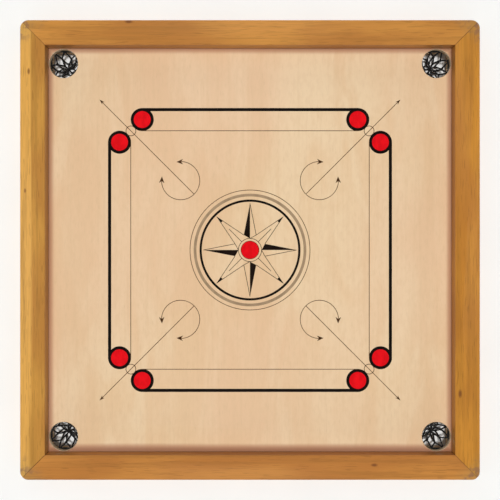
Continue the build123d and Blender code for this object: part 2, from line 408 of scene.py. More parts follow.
def stretched_noise(tree, place, sizes, offset=(0, 0, 0), detail=2.0, roughness=0.5, distortion=0.0):
    """Noise whose spots measure the given sizes in metres along X, Y and Z."""
    scale = tuple(0.5 / size for size in sizes)
    mapping = add(tree, "ShaderNodeMapping", {}, {"Vector": place, "Scale": scale, "Location": offset})
    noise = add(
        tree,
        "ShaderNodeTexNoise",
        {},
        {
            "Vector": mapping.outputs["Vector"],
            "Scale": 1.0,
            "Detail": detail,
            "Roughness": roughness,
            "Distortion": distortion,
        },
    )
    return noise.outputs["Fac"]


def ramp(tree, value, low, high, out_low=0.0, out_high=1.0):
    """A smooth step of a value between two levels."""
    node = add(
        tree,
        "ShaderNodeMapRange",
        {"interpolation_type": "SMOOTHSTEP"},
        {"Value": value, "From Min": low, "From Max": high, "To Min": out_low, "To Max": out_high},
    )
    return node.outputs["Result"]


def blend(tree, share, first, second):
    """Two colours mixed by a share."""
    if not isinstance(first, bpy.types.NodeSocket):
        first = (*first, 1.0)
    if not isinstance(second, bpy.types.NodeSocket):
        second = (*second, 1.0)
    node = add(tree, "ShaderNodeMix", {"data_type": "RGBA"}, {0: share, 6: first, 7: second})
    return node.outputs[2]


def reckon(tree, operation, *values):
    """One sum on numbers."""
    inputs = dict(enumerate(values))
    return add(tree, "ShaderNodeMath", {"operation": operation}, inputs).outputs["Value"]


def bump(tree, height, depth, below=None):
    """Surface relief: a height of 0 to 1 that measures a depth in metres."""
    inputs = {"Height": height, "Distance": depth, "Strength": 1.0}
    if below is not None:
        inputs["Normal"] = below
    return add(tree, "ShaderNodeBump", {}, inputs).outputs["Normal"]


def shaded(colour, share):
    """A colour with its light scaled."""
    return tuple(min(1.0, c * share) for c in colour)


def dress(tree, shader, patterns, constants):
    """Feeds a shader its patterns, and sets on it what is the same all over the surface."""
    for name, output in patterns.items():
        tree.links.new(output, shader.inputs[name])
    for name, value in constants.items():
        shader.inputs[name].default_value = value


def varnished_hardwood(name, along_x, colour, seed, sapwood=None, knots=()):
    """Oil-varnished plain-sawn hardwood, planed and sanded: long wavy growth lines 4 to 8 mm apart,
    fine dark pores, and a slow drift between golden and red-brown. Glue shows at the mitres, filler
    at the corners, and the faces below the sheet are bare. Real pores are 0.1 to 0.3 mm wide. They
    are drawn wider so that they show."""
    material, tree, shader, place = new_finish(name)
    split = add(tree, "ShaderNodeSeparateXYZ", {}, {"Vector": place})

    def grain(length, width, *rest, **extra):
        sizes = (length, width, width) if along_x else (width, length, width)
        return stretched_noise(tree, place, sizes, *rest, **extra)

    cloud = grain(90 * MM, 26 * MM, (seed, 0, 0), detail=2.0)
    lines = grain(150 * MM, 4.2 * MM, (0, seed, 0), detail=3.0, roughness=0.55, distortion=0.25)
    fibres = grain(26 * MM, 0.9 * MM, (0, 0, seed), detail=2.0, roughness=0.65)
    pores = grain(9 * MM, 0.45 * MM, (seed, seed, 0), detail=0.0)

    wood = blend(tree, ramp(tree, cloud, 0.34, 0.66), shaded(colour, 0.86), shaded(colour, 1.12))
    wood = blend(tree, ramp(tree, cloud, 0.60, 0.40, 0.0, 0.22), wood, RED_BROWN_FIGURE)
    if sapwood is not None:
        wander = reckon(tree, "MULTIPLY_ADD", lines, 9 * MM, split.outputs["X"])
        low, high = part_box("rail_left")[0].x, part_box("rail_left")[1].x
        edge = low + 0.62 * (high - low)  # where the stripe ends, measured from the outer side
        pale = ramp(tree, wander, edge + 1 * MM, edge - 4 * MM)
        pale = reckon(tree, "MULTIPLY", pale, ramp(tree, cloud, 0.2, 0.5, 0.55, 1.0))
        wood = blend(tree, pale, wood, sapwood)
    wood = blend(tree, ramp(tree, lines, 0.48, 0.64, 0.0, 0.36), wood, shaded(colour, 0.60))
    wood = blend(tree, ramp(tree, fibres, 0.42, 0.72, 0.0, 0.22), wood, shaded(colour, 0.60))
    pore_share = ramp(tree, pores, 0.66, 0.74, 0.0, 0.28)
    wood = blend(tree, pore_share, wood, shaded(colour, 0.25))

    run_x = reckon(tree, "ABSOLUTE", split.outputs["X"])
    run_y = reckon(tree, "ABSOLUTE", split.outputs["Y"])
    patches = stretched_noise(tree, place, (5 * MM,) * 3, (seed, 1, 1), detail=2.0)
    from_mitre = reckon(tree, "ABSOLUTE", reckon(tree, "SUBTRACT", run_x, run_y))
    from_mitre = reckon(tree, "MULTIPLY_ADD", patches, -1.6 * MM, from_mitre)
    wood = blend(tree, ramp(tree, from_mitre, 0.3 * MM, -0.4 * MM, 0.0, 0.55), wood, GLUE_LINE)
    tip = 2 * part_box("rail_right")[1].x - 8 * MM  # the two runs' sum at the rounded corner
    near_tip = ramp(tree, reckon(tree, "ADD", run_x, run_y), tip - 44 * MM, tip - 4 * MM)
    wood = blend(tree, reckon(tree, "MULTIPLY", near_tip, 0.30), wood, OLIVE_TIP)
    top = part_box("rail_front")[1].z
    near_top = ramp(tree, split.outputs["Z"], top - 10 * MM, top - 3 * MM, 0.15, 1.0)
    filled = reckon(tree, "MULTIPLY", near_tip, ramp(tree, patches, 0.48, 0.64, 0.0, 0.65))
    filled = reckon(tree, "MULTIPLY", filled, near_top)
    wood = blend(tree, filled, wood, WOOD_FILLER)

    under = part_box("playing_panel")[0].z
    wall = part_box("rail_right")[0].x
    bare = ramp(tree, reckon(tree, "MAXIMUM", run_x, run_y), wall + 1 * MM, wall, 0.0, 0.7)
    bare = reckon(tree, "MULTIPLY", bare, ramp(tree, split.outputs["Z"], under, under - 1 * MM))
    wood = blend(tree, bare, wood, BARE_HARDWOOD)

    for x, y, size in knots:
        squash = (0.45, 1.0, 0.3) if along_x else (1.0, 0.45, 0.3)
        away = place
        for operation, value in (("SUBTRACT", (x, y, top)), ("MULTIPLY", squash)):
            step = add(tree, "ShaderNodeVectorMath", {"operation": operation}, {0: away, 1: value})
            away = step.outputs["Vector"]
        reach = add(tree, "ShaderNodeVectorMath", {"operation": "LENGTH"}, {0: away}).outputs["Value"]
        reach = reckon(tree, "MULTIPLY_ADD", fibres, 1.5 * MM, reach)
        wood = blend(tree, ramp(tree, reach, size * 1.7, size * 0.7, 0.0, 0.75), wood, WOOD_KNOT)

    roughness = ramp(tree, fibres, 0.3, 0.7, 0.38, 0.52)
    relief = bump(tree, fibres, 0.05 * MM, bump(tree, pore_share, -0.12 * MM))
    patterns = {"Base Color": wood, "Roughness": roughness, "Normal": relief}
    shine = {"Specular IOR Level": 0.35, "Coat Weight": 0.22, "Coat Roughness": 0.22}
    dress(tree, shader, patterns, {"IOR": ORGANIC_IOR, **shine})
    return material


def veneered_plywood(name, settings):
    """Lacquered birch plywood, rotary-cut face veneer: pale and almost even, with faint streaks about
    2 mm wide along Y and pinkish figure a few centimetres across. The layers show where the pockets
    are cut. Birch pores are under 0.1 mm wide. They are drawn wider so that they show."""
    material, tree, shader, place = new_finish(name)
    veneer, streak = settings.veneer, settings.streak
    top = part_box("playing_panel")[1].z
    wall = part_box("rail_right")[0].x

    figure = stretched_noise(tree, place, (24 * MM, 95 * MM, 30 * MM), (3.1, 0, 0), 3.0, 0.5, 0.8)
    cloud = stretched_noise(tree, place, (120 * MM, 160 * MM, 90 * MM), (0, 7.7, 0), 2.0)
    streaks = stretched_noise(tree, place, (2.2 * MM, 80 * MM, 8 * MM), (0, 0, 2.2), 3.0, 0.6)
    mottle = stretched_noise(tree, place, (3.5 * MM, 7 * MM, 5 * MM), (6.1, 0, 0), 2.0, 0.6)
    pores = stretched_noise(tree, place, (0.5 * MM, 6 * MM, 2 * MM), (0, 4.4, 0), 0.0)
    face = blend(tree, ramp(tree, figure, 0.36, 0.66, 0.0, 0.75), veneer, streak)
    face = blend(tree, ramp(tree, cloud, 0.35, 0.65, 0.35, 0.0), face, PINK_FIGURE)
    face = blend(tree, ramp(tree, streaks, 0.42, 0.72, 0.0, 0.20), face, shaded(streak, 0.9))
    face = blend(tree, ramp(tree, mottle, 0.40, 0.68, 0.0, 0.24), face, shaded(streak, 0.93))
    face = blend(tree, ramp(tree, pores, 0.64, 0.76, 0.0, 0.10), face, shaded(streak, 0.6))

    split = add(tree, "ShaderNodeSeparateXYZ", {}, {"Vector": place})
    # Painted shade: a pinkish band along the rails, wider at the front, where their walls shade the sheet,
    # and darkest in the crease at the walls' foot
    front = reckon(tree, "MULTIPLY_ADD", split.outputs["Y"], -1.0, settings.front_margin - settings.margin)
    reach = reckon(tree, "MAXIMUM", reckon(tree, "ABSOLUTE", split.outputs["X"]), split.outputs["Y"])
    reach = reckon(tree, "MAXIMUM", reach, front)
    wander = 3 * MM
    reach = reckon(tree, "MULTIPLY_ADD", cloud, wander, reach)
    margin = wall - settings.margin + wander / 2
    wall_shade = ramp(tree, reach, margin - 3.2 * MM, margin + 3.2 * MM, 0.0, 0.68)
    face = blend(tree, wall_shade, face, PAINTED_WALL_SHADE)
    crease_shade = ramp(tree, reach, margin + 1 * MM, wall + wander, 0.0, 0.65)
    face = blend(tree, crease_shade, face, PAINTED_CREASE_SHADE)

    depth = reckon(tree, "SUBTRACT", top, split.outputs["Z"])
    layer = reckon(tree, "DIVIDE", depth, settings.ply)
    swing = reckon(tree, "SINE", reckon(tree, "MULTIPLY", layer, math.pi))
    end_grain = stretched_noise(tree, place, (0.8 * MM, 0.8 * MM, 0.5 * MM), (5, 5, 5), 2.0, 0.7)
    core = blend(tree, ramp(tree, swing, -0.3, 0.3), DARK_PLY, PALE_PLY)
    core = blend(tree, ramp(tree, end_grain, 0.4, 0.7, 0.0, 0.4), core, PLY_PORES)
    normal = add(tree, "ShaderNodeNewGeometry", {}, {}).outputs["Normal"]
    facing = add(tree, "ShaderNodeSeparateXYZ", {}, {"Vector": normal}).outputs["Z"]
    flat = ramp(tree, reckon(tree, "ABSOLUTE", facing), 0.55, 0.9)
    underside = ramp(tree, facing, -0.2, -0.6)
    face = blend(tree, reckon(tree, "MULTIPLY", underside, 0.6), face, BARE_PLY)
    whole = blend(tree, flat, core, face)

    roughness = ramp(tree, streaks, 0.3, 0.7, 0.36, 0.46)
    patterns = {"Base Color": whole, "Roughness": roughness, "Normal": bump(tree, streaks, 0.03 * MM)}
    dress(tree, shader, patterns, {"IOR": ORGANIC_IOR, "Coat Weight": 0.3, "Coat Roughness": 0.25})
    return material


def screen_ink(name, colour, mottle, worn, inner=None):
    """Screen-printed enamel ink on veneer: a thin satin film that the grain shows through as faint relief,
    with slightly uneven cover. An inner ink may take its place within a distance of the board's middle."""
    material, tree, shader, place = new_finish(name)
    cover = stretched_noise(tree, place, (5 * MM, 9 * MM, 5 * MM), (1.7, 0, 0), 3.0, 0.6)
    screen = stretched_noise(tree, place, (0.5 * MM, 0.7 * MM, 1 * MM), (0, 2.9, 0), 1.0)
    streaks = stretched_noise(tree, place, (1.3 * MM, 60 * MM, 8 * MM), (0, 0, 2.2), 3.0, 0.6)
    ink = blend(tree, ramp(tree, cover, 0.35, 0.65), shaded(colour, 1 - mottle), shaded(colour, 1 + mottle))
    if inner is not None:
        inner_colour, reach = inner
        split = add(tree, "ShaderNodeSeparateXYZ", {}, {"Vector": place})
        sides = [reckon(tree, "ABSOLUTE", split.outputs[axis]) for axis in ("X", "Y")]
        inside = ramp(tree, reckon(tree, "MAXIMUM", *sides), reach + 0.1 * MM, reach)
        ink = blend(tree, inside, ink, inner_colour)
    ink = blend(tree, ramp(tree, screen, 0.60, 0.78, 0.0, worn), ink, WORN_INK)
    roughness = ramp(tree, cover, 0.3, 0.7, 0.28, 0.38)
    patterns = {"Base Color": ink, "Roughness": roughness, "Normal": bump(tree, streaks, 0.03 * MM)}
    dress(tree, shader, patterns, {"IOR": ORGANIC_IOR, "Specular IOR Level": 0.2})
    return material


def sawn_pine(name, along_x, colour, seed):
    """Unfinished pine, sawn and lightly planed: straight growth lines 2 to 4 mm apart, and faint marks
    across the grain every few millimetres from the saw. Its fibres are drawn wider than real ones so
    that they show."""
    material, tree, shader, place = new_finish(name)

    def grain(length, width, thickness, *rest):
        sizes = (length, width, thickness) if along_x else (width, length, thickness)
        return stretched_noise(tree, place, sizes, *rest)

    lines = grain(220 * MM, 2.6 * MM, 3.2 * MM, (seed, seed, 0), 2.0, 0.5, 0.3)
    fibres = grain(20 * MM, 0.7 * MM, 0.7 * MM, (0, seed, seed), 2.0, 0.6)
    saw = grain(2.4 * MM, 60 * MM, 60 * MM, (seed, 0, seed), 1.0)
    wood = blend(tree, ramp(tree, lines, 0.42, 0.62), shaded(colour, 1.08), shaded(colour, 0.72))
    wood = blend(tree, ramp(tree, fibres, 0.4, 0.7, 0.0, 0.35), wood, shaded(colour, 0.62))
    wood = blend(tree, ramp(tree, saw, 0.55, 0.7, 0.0, 0.18), wood, shaded(colour, 0.5))
    roughness = ramp(tree, fibres, 0.3, 0.7, 0.62, 0.8)
    relief = bump(tree, fibres, 0.06 * MM, bump(tree, saw, 0.08 * MM))
    patterns = {"Base Color": wood, "Roughness": roughness, "Normal": relief}
    dress(tree, shader, patterns, {"IOR": ORGANIC_IOR})
    return material


def key_plywood(name, colour):
    """Birch plywood sawn into tongues and left bare: pale and darker layers 1.2 mm thick, with short
    fibres along X."""
    material, tree, shader, place = new_finish(name)
    height = add(tree, "ShaderNodeSeparateXYZ", {}, {"Vector": place}).outputs["Z"]
    two_layers = 2.4 * MM
    swing = reckon(tree, "SINE", reckon(tree, "MULTIPLY", height, math.tau / two_layers))
    fibres = stretched_noise(tree, place, (6 * MM, 0.8 * MM, 0.6 * MM), (0, 0, 0), 2.0)
    wood = blend(tree, ramp(tree, swing, -0.3, 0.3), shaded(colour, 0.8), shaded(colour, 1.1))
    wood = blend(tree, ramp(tree, fibres, 0.4, 0.7, 0.0, 0.35), wood, shaded(colour, 0.6))
    roughness = ramp(tree, fibres, 0.3, 0.7, 0.65, 0.8)
    dress(tree, shader, {"Base Color": wood, "Roughness": roughness}, {"IOR": ORGANIC_IOR})
    return material


def plain_steel(name, colour, roughness, tarnish, grain):
    """Drawn or stamped steel: a grey metal with scratches from its tools and patches where it has
    dulled. The scratches are drawn wider than real ones so that they show."""
    material, tree, shader, place = new_finish(name)
    patches = stretched_noise(tree, place, (1.6 * MM,) * 3, (9, 1, 4), 3.0, 0.6)
    scratches = stretched_noise(tree, place, (grain, 0.15 * MM, grain), (2, 6, 1), 2.0, 0.6)
    metal = blend(tree, ramp(tree, patches, 0.45, 0.7, 0.0, 0.6), colour, tarnish)
    roughness = ramp(tree, patches, 0.3, 0.7, roughness, roughness + 0.2)
    relief = bump(tree, scratches, 0.02 * MM)
    dress(tree, shader, {"Base Color": metal, "Roughness": roughness, "Normal": relief}, {"Metallic": 1.0})
    return material


def twisted_cord(name, colour):
    """Laid three-ply black cotton cord: the strands are modelled, and lint and dust lighten them. Lint
    is drawn coarser than cotton fibres, which are 0.02 mm thick, so that it shows."""
    material, tree, shader, place = new_finish(name)
    lint = stretched_noise(tree, place, (0.35 * MM,) * 3, (3, 3, 3), 3.0, 0.7)
    dust = stretched_noise(tree, place, (3 * MM,) * 3, (8, 2, 5), 2.0)
    cotton = blend(tree, ramp(tree, lint, 0.5, 0.75, 0.0, 0.6), colour, COTTON_LINT)
    cotton = blend(tree, ramp(tree, dust, 0.5, 0.75, 0.0, 0.25), cotton, COTTON_DUST)
    roughness = ramp(tree, lint, 0.3, 0.7, 0.7, 0.85)
    patterns = {"Base Color": cotton, "Roughness": roughness, "Normal": bump(tree, lint, 0.1 * MM)}
    dress(tree, shader, patterns, {"IOR": ORGANIC_IOR, "Sheen Weight": 0.15})
    return material


def studio_floor(name, colour):
    """Matt paint laid on with a roller: almost white and faintly uneven."""
    material, tree, shader, place = new_finish(name)
    roller = stretched_noise(tree, place, (60 * MM,) * 3, (0, 0, 0), 2.0)
    paint = blend(tree, ramp(tree, roller, 0.3, 0.7), shaded(colour, 0.985), colour)
    roughness = ramp(tree, roller, 0.3, 0.7, 0.75, 0.85)
    dress(tree, shader, {"Base Color": paint, "Roughness": roughness}, {})
    return material


# Pieces


def frame_ring(settings):
    """The whole frame before it is parted at the mitres: outer roundings, well, groove and housings."""
    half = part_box("rail_right")[1].x
    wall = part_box("rail_right")[0].x
    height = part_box("rail_right")[1].z
    sheet_low, sheet_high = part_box("playing_panel")
    ring = block("frame_ring", (-half, -half, 0), (half, half, height))

    def upright(edge):
        return abs(edge.verts[0].co.z - edge.verts[1].co.z) > NEAR

    def on_lip(co):
        return co.z > height - NEAR and abs(max(abs(co.x), abs(co.y)) - wall) < NEAR

    pick_piece(ring)
    bpy.ops.object.mode_set(mode="EDIT")
    select_by("EDGE", upright)
    bpy.ops.mesh.bevel(offset=settings.corner_radius, segments=10, affect="EDGES")
    bpy.ops.object.mode_set(mode="OBJECT")
    bevel_edges(ring, lambda co: co.z > height - NEAR, settings.top_round, 5)
    bevel_edges(ring, lambda co: co.z < NEAR, settings.foot_bevel, 2)
    cut(ring, block("well", (-wall, -wall, -height), (wall, wall, 2 * height)))
    bevel_edges(ring, on_lip, settings.lip_round, 3)
    low = (sheet_low.x - GLUE_PLAY, sheet_low.y - GLUE_PLAY, sheet_low.z)
    cut(ring, block("groove", low, [co + GLUE_PLAY for co in sheet_high]))
    for side in SIDES:
        low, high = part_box(f"batten_{side}")
        roof = (high.x + BATTEN_PLAY, high.y + BATTEN_PLAY, sheet_low.z + NEAR)
        cut(ring, block("housing", [co - BATTEN_PLAY for co in low], roof))
    for corner, (side_x, side_y) in CORNERS.items():
        low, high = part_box(f"mitre_key_{corner}")
        middle = (low + high) / 2
        length = (high.x - low.x) * math.sqrt(2) - KEY_WIDTH
        reach = Vector([size / 2 + GLUE_PLAY for size in (KEY_WIDTH, length, high.z - low.z)])
        slot = block("key_slot", -reach, reach)
        turn = Matrix.Rotation(math.radians(45 * side_x * side_y), 4, "Z")
        slot.data.transform(Matrix.Translation(middle) @ turn)
        cut(ring, slot)
    for low, high in loose_parts("corner_nails"):
        middle = (low + high) / 2
        side = 1 if middle.x > 0 else -1
        outwards = Vector((side, 0, 0))
        head = Vector((side * half, middle.y, middle.z))
        radius = (high.z - low.z) / 2 + NAIL_HEAD_PLAY
        bottom = head - outwards * NAIL_HEAD_DEPTH
        cut(ring, rod("nail_head_hole", radius, bottom, head + outwards * PAST, 32))
        inner_end = Vector((low.x if side > 0 else high.x, middle.y, middle.z))
        cut(ring, rod("nail_hole", NAIL_HOLE, inner_end, head, 24))
    return ring


def part_at_mitres(rail, side):
    """Cuts the ring down to one side's rail by two slanting planes through the board's middle."""
    middle = Matrix.Rotation(math.radians(SIDES[side]), 3, "Z") @ Vector((0, -1, 0))
    pick_piece(rail)
    for turn, square in ((-45, 90), (45, -90)):
        mitre = Matrix.Rotation(math.radians(turn), 3, "Z") @ middle
        inwards = Matrix.Rotation(math.radians(square), 3, "Z") @ mitre
        bpy.ops.object.mode_set(mode="EDIT")
        bpy.ops.mesh.select_all(action="SELECT")
        bpy.ops.mesh.bisect(plane_co=(0, 0, 0), plane_no=inwards, use_fill=True, clear_inner=True)
        bpy.ops.object.mode_set(mode="OBJECT")


class CARROM_OT_frame_rails(bpy.types.Operator):
    """Models the frame as one ring, parts it at the mitres and gives each rail its own piece of wood"""

    bl_idname = "carrom.frame_rails"
    bl_label = "Frame rails"

    def execute(self, context):
        settings = context.scene.carrom_frame
        ring = frame_ring(settings)
        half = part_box("rail_right")[1].x
        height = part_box("rail_right")[1].z
        below_round = height - settings.top_round * 1.1
        tip_reach = half * math.sqrt(2) - 9 * MM
        # Each knot's place along X and Y, and its radius
        knots = {
            "front": ((178 * MM, -308 * MM, 2.2 * MM),),
            "right": ((301 * MM, -206 * MM, 2.6 * MM),),
            "back": ((-174 * MM, 327 * MM, 2.4 * MM),),
            "left": ((-317 * MM, 256 * MM, 2.0 * MM), (-322 * MM, 85 * MM, 1.6 * MM)),
        }

        def on_mitre(co):
            outside = co.z > below_round or math.hypot(co.x, co.y) > tip_reach
            return abs(abs(co.x) - abs(co.y)) < NEAR / 2 and outside

        for index, side in enumerate(SIDES):
            rail = copied(ring, f"{side}_rail")
            part_at_mitres(rail, side)
            bevel_edges(rail, on_mitre, settings.seam, 1)
            smooth(rail)
            along_x = side in ("front", "back")
            colour = getattr(settings, f"{side}_wood")
            sapwood = settings.sapwood if side == "left" else None
            name = f"varnished hardwood {side}"
            seed = 3.7 + 5.3 * index
            finish = varnished_hardwood(name, along_x, colour, seed, sapwood, knots[side])
            finished(rail, finish, "rail_hardwood", f"rail_{side}")
        bpy.data.objects.remove(ring)
        return {"FINISHED"}


class CARROM_OT_mitre_keys(bpy.types.Operator):
    """Gives the tongues inside the mitres their plywood"""

    bl_idname = "carrom.mitre_keys"
    bl_label = "Mitre keys"

    def execute(self, context):
        finish = key_plywood("birch plywood tongues", context.scene.carrom_frame.key_wood)
        for corner in CORNERS:
            coated(f"mitre_key_{corner}", finish)
        return {"FINISHED"}


class CARROM_OT_corner_nails(bpy.types.Operator):
    """Models one wire nail and drives a copy at each place across the mitres"""

    bl_idname = "carrom.corner_nails"
    bl_label = "Corner nails"

    def execute(self, context):
        parts = loose_parts("corner_nails")
        length = parts[0][1].x - parts[0][0].x
        head = (parts[0][1].z - parts[0][0].z) / 2
        outline = (
            (head * 0.86, 0.12 * MM),
            (head, 0.25 * MM),
            (head, 0.45 * MM),
            (NAIL_SHANK, 1.2 * MM),
            (NAIL_SHANK, length - NAIL_POINT),
            (0.1 * MM, length),
        )
        nail = turned("nail", outline, 20)
        placings = []
        for low, high in parts:
            middle = (low + high) / 2
            side = 1 if middle.x > 0 else -1
            head_x = high.x if side > 0 else low.x
            turn = Matrix.Rotation(math.radians(-90 * side), 4, "Y")
            placings.append(Matrix.Translation((head_x, middle.y, middle.z)) @ turn)
        piece = driven(nail, placings, "frame_nails")
        bpy.data.objects.remove(nail)
        smooth(piece)
        steel = context.scene.carrom_frame.nail_steel
        finish = plain_steel("drawn steel wire", steel, 0.35, NAIL_TARNISH, 2 * MM)
        finished(piece, finish, "nail_steel", "corner_nails")
        return {"FINISHED"}


class CARROM_OT_playing_sheet(bpy.types.Operator):
    """Models the plywood sheet with its four pockets"""

    bl_idname = "carrom.playing_sheet"
    bl_label = "Playing sheet"

    def execute(self, context):
        settings = context.scene.carrom_sheet
        low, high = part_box("playing_panel")
        sheet = block("playing_sheet", low, high)
        radius = settings.pocket_diameter / 2
        centres = [pocket_centre(corner) for corner in CORNERS]
        for centre in centres:
            cut(sheet, rod("pocket", radius, centre - UP * 10 * MM, centre + UP * 20 * MM))

        def on_rim(co):
            reach = min(math.hypot(co.x - c.x, co.y - c.y) for c in centres)
            return abs(reach - radius) < 5 * NEAR

        bevel_edges(sheet, lambda co: on_rim(co) and co.z > high.z - NEAR, settings.pocket_round, 3)
        bevel_edges(sheet, lambda co: on_rim(co) and co.z < low.z + NEAR, settings.pocket_round / 2, 1)
        smooth(sheet)
        finish = veneered_plywood("lacquered birch plywood", settings)
        finished(sheet, finish, "sheet_plywood", "playing_panel")
        return {"FINISHED"}


class CARROM_OT_printing(bpy.types.Operator):
    """Inks the printed lines, circles, arrows and star"""

    bl_idname = "carrom.printing"
    bl_label = "Printing"

    def execute(self, context):
        settings = context.scene.carrom_sheet
        black = screen_ink("black screen-printed enamel", settings.black_ink, 0.25, 0.03)
        fine = screen_ink("warm black screen-printed enamel", settings.star_ink, 0.25, 0.03)
        inner = (settings.thin_ink, settings.thin_reach)
        lined = screen_ink("black and brown screen-printed enamel", settings.black_ink, 0.25, 0.03, inner)
        thin = screen_ink("thin brown screen-printed enamel", settings.thin_ink, 0.20, 0.12)
        red = screen_ink("red screen-printed enamel", settings.red_ink, 0.10, 0.04)
        brown = screen_ink("brown screen-printed enamel", settings.brown_ink, 0.10, 0.25)
        inks = {
            "print_base_lines": lined,
            "print_base_discs": red,
            "print_corner_arrows": thin,
            "print_outer_circle": thin,
            "print_brown_band": brown,
            "print_black_ring": black,
            "print_star": fine,
            "print_disc_rim": fine,
            "print_centre_disc": red,
        }
        for node, ink in inks.items():
            coated(node, ink)
        return {"FINISHED"}


class CARROM_OT_lattice(bpy.types.Operator):
    """Models the four battens under the sheet, halved where they cross and countersunk for their screws"""

    bl_idname = "carrom.lattice"
    bl_label = "Lattice"

    def execute(self, context):
        settings = context.scene.carrom_lattice
        screws = loose_parts("batten_screws")
        for index, side in enumerate(SIDES):
            low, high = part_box(f"batten_{side}")
            along_x = side in ("front", "back")
            batten = block(f"{side}_batten", low, high)
            middle = (low.z + high.z) / 2
            floor, roof = (low.z - PAST, middle) if along_x else (middle, high.z + PAST)
            along, across = (0, 1) if along_x else (1, 0)
            for other in ("left", "right") if along_x else ("front", "back"):
                other_low, other_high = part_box(f"batten_{other}")
                start, end = [0, 0, floor], [0, 0, roof]
                start[along] = other_low[along] - BATTEN_PLAY
                end[along] = other_high[along] + BATTEN_PLAY
                start[across] = low[across] - PAST
                end[across] = high[across] + PAST
                cut(batten, block("halving", start, end))

            def on_long_edge(co):
                at_side = min(abs(co[across] - low[across]), abs(co[across] - high[across])) < NEAR
                return at_side and co.z < low.z + NEAR

            bevel_edges(batten, on_long_edge, settings.edge, 2)
            for screw_low, screw_high in screws:
                place = (screw_low + screw_high) / 2
                if low.x < place.x < high.x and low.y < place.y < high.y:
                    base = screw_low.z
                    outline = (
                        (SCREW_SINK, base - PAST),
                        (SCREW_SINK, base + 0.45 * MM),
                        (SCREW_HOLE, base + 2.9 * MM),
                        (SCREW_HOLE, high.z + PAST),
                    )
                    hole = turned("screw_hole", outline, 32)
                    hole.data.transform(Matrix.Translation((place.x, place.y, 0)))
                    cut(batten, hole)
            smooth(batten)
            seed = 2.3 + 4.1 * index
            finish = sawn_pine(f"sawn pine {side}", along_x, settings.pine, seed)
            finished(batten, finish, "batten_softwood", f"batten_{side}")
        return {"FINISHED"}


class CARROM_OT_batten_screws(bpy.types.Operator):
    """Models one countersunk screw with its cross recess and drives a copy at each place in the lattice"""

    bl_idname = "carrom.batten_screws"
    bl_label = "Batten screws"

    def execute(self, context):
        parts = loose_parts("batten_screws")
        low, high = parts[0]
        length = high.z - low.z
        head = (high.x - low.x) / 2
        outline = (
            (head - 0.2 * MM, 0),
            (head, 0.2 * MM),
            (head, 0.4 * MM),
            (SCREW_SHANK, 2.8 * MM),
            (SCREW_SHANK, length - SCREW_POINT),
            (0.1 * MM, length),
        )
        screw = turned("screw", outline, 24)
        reach = Vector((2.0, 0.45, 0)) * MM
        depth = 1.4 * MM
        for turn in (0, 90):
            wing = block("wing", -reach - UP * 0.5 * MM, reach + UP * depth)
            pick_piece(wing)
            bpy.ops.object.mode_set(mode="EDIT")
            select_by("FACE", lambda face: face.calc_center_median().z > depth - 0.1 * MM)
            bpy.ops.transform.resize(value=(0.35, 0.7, 1), center_override=(0, 0, depth))
            bpy.ops.object.mode_set(mode="OBJECT")
            wing.data.transform(Matrix.Rotation(math.radians(turn), 4, "Z"))
            cut(screw, wing)
        seed = 31
        draws = random.Random(seed)
        placings = []
        for low, high in parts:
            middle = (low + high) / 2
            turn = Matrix.Rotation(draws.uniform(0, math.pi / 2), 4, "Z")
            placings.append(Matrix.Translation((middle.x, middle.y, low.z)) @ turn)
        piece = driven(screw, placings, "lattice_screws")
        bpy.data.objects.remove(screw)
        smooth(piece)
        zinc = context.scene.carrom_lattice.screw_zinc
        finish = plain_steel("zinc-plated steel", zinc, 0.3, ZINC_TARNISH, MM)
        finished(piece, finish, "screw_steel", "batten_screws")
        return {"FINISHED"}


def sweep(verts, faces, path, radius, lay, closed=False, sides=12, strands=3):
    """Adds a laid cord to a mesh: its section's lobes turn along the path once in every lay."""
    count = len(path)
    first = len(verts)
    core = radius * 0.92
    swell = 0.13
    steep = 0.96
    travelled = 0.0
    for i, point in enumerate(path):
        if closed:
            ahead = path[(i + 1) % count] - path[i - 1]
        else:
            ahead = path[min(i + 1, count - 1)] - path[max(i - 1, 0)]
        if i:
            travelled += (point - path[i - 1]).length
        ahead.normalize()
        side = ahead.cross(UP) if abs(ahead.z) < steep else ahead.cross(Vector((1, 0, 0)))
        side.normalize()
        over = side.cross(ahead)
        for k in range(sides):
            angle = 2 * math.pi * k / sides
            lobe = 1 + swell * math.cos(strands * (angle - 2 * math.pi * travelled / lay))
            verts.append(point + core * lobe * (side * math.cos(angle) + over * math.sin(angle)))
    for i in range(count if closed else count - 1):
        near, far = first + i * sides, first + (i + 1) % count * sides
        for k in range(sides):
            m = (k + 1) % sides
            faces.append((near + k, far + k, far + m, near + m))
    if not closed:
        faces.append(tuple(first + k for k in range(sides)))
        faces.append(tuple(first + (count - 1) * sides + k for k in reversed(range(sides))))


def knot(verts, faces, centre, size, cord, draws):
    """Adds a small overhand knot: a trefoil of cord, turned at random."""
    angle = draws.uniform(0, math.tau)
    axis = (draws.uniform(-1, 1), draws.uniform(-1, 1), 1.5)
    turn = Matrix.Rotation(angle, 3, axis)
    steps = 18
    path = []
    for i in range(steps):
        t = math.tau * i / steps
        x = math.sin(t) + 2 * math.sin(2 * t)
        y = math.cos(t) - 2 * math.cos(2 * t)
        path.append(centre + turn @ Vector((x, y, -math.sin(3 * t))) * size / 3)
    untwisted = 1.0
    sweep(verts, faces, path, cord, untwisted, closed=True, sides=6)


def bowed(start, end, bow, step):
    """Points along a cord between two knots, bowed by a vector at its middle."""
    count = max(3, math.ceil((end - start).length / step))
    return [start.lerp(end, i / count) + bow * 4 * (i / count) * (1 - i / count) for i in range(count + 1)]


def head_line(angle, free, limit):
    """How far the net's head line lies from the pocket's middle: the rails on +X and +Y hold it in."""
    reach = free
    for towards in (math.cos(angle), math.sin(angle)):
        if towards > 0:
            reach = min(reach, limit / towards)
    return reach


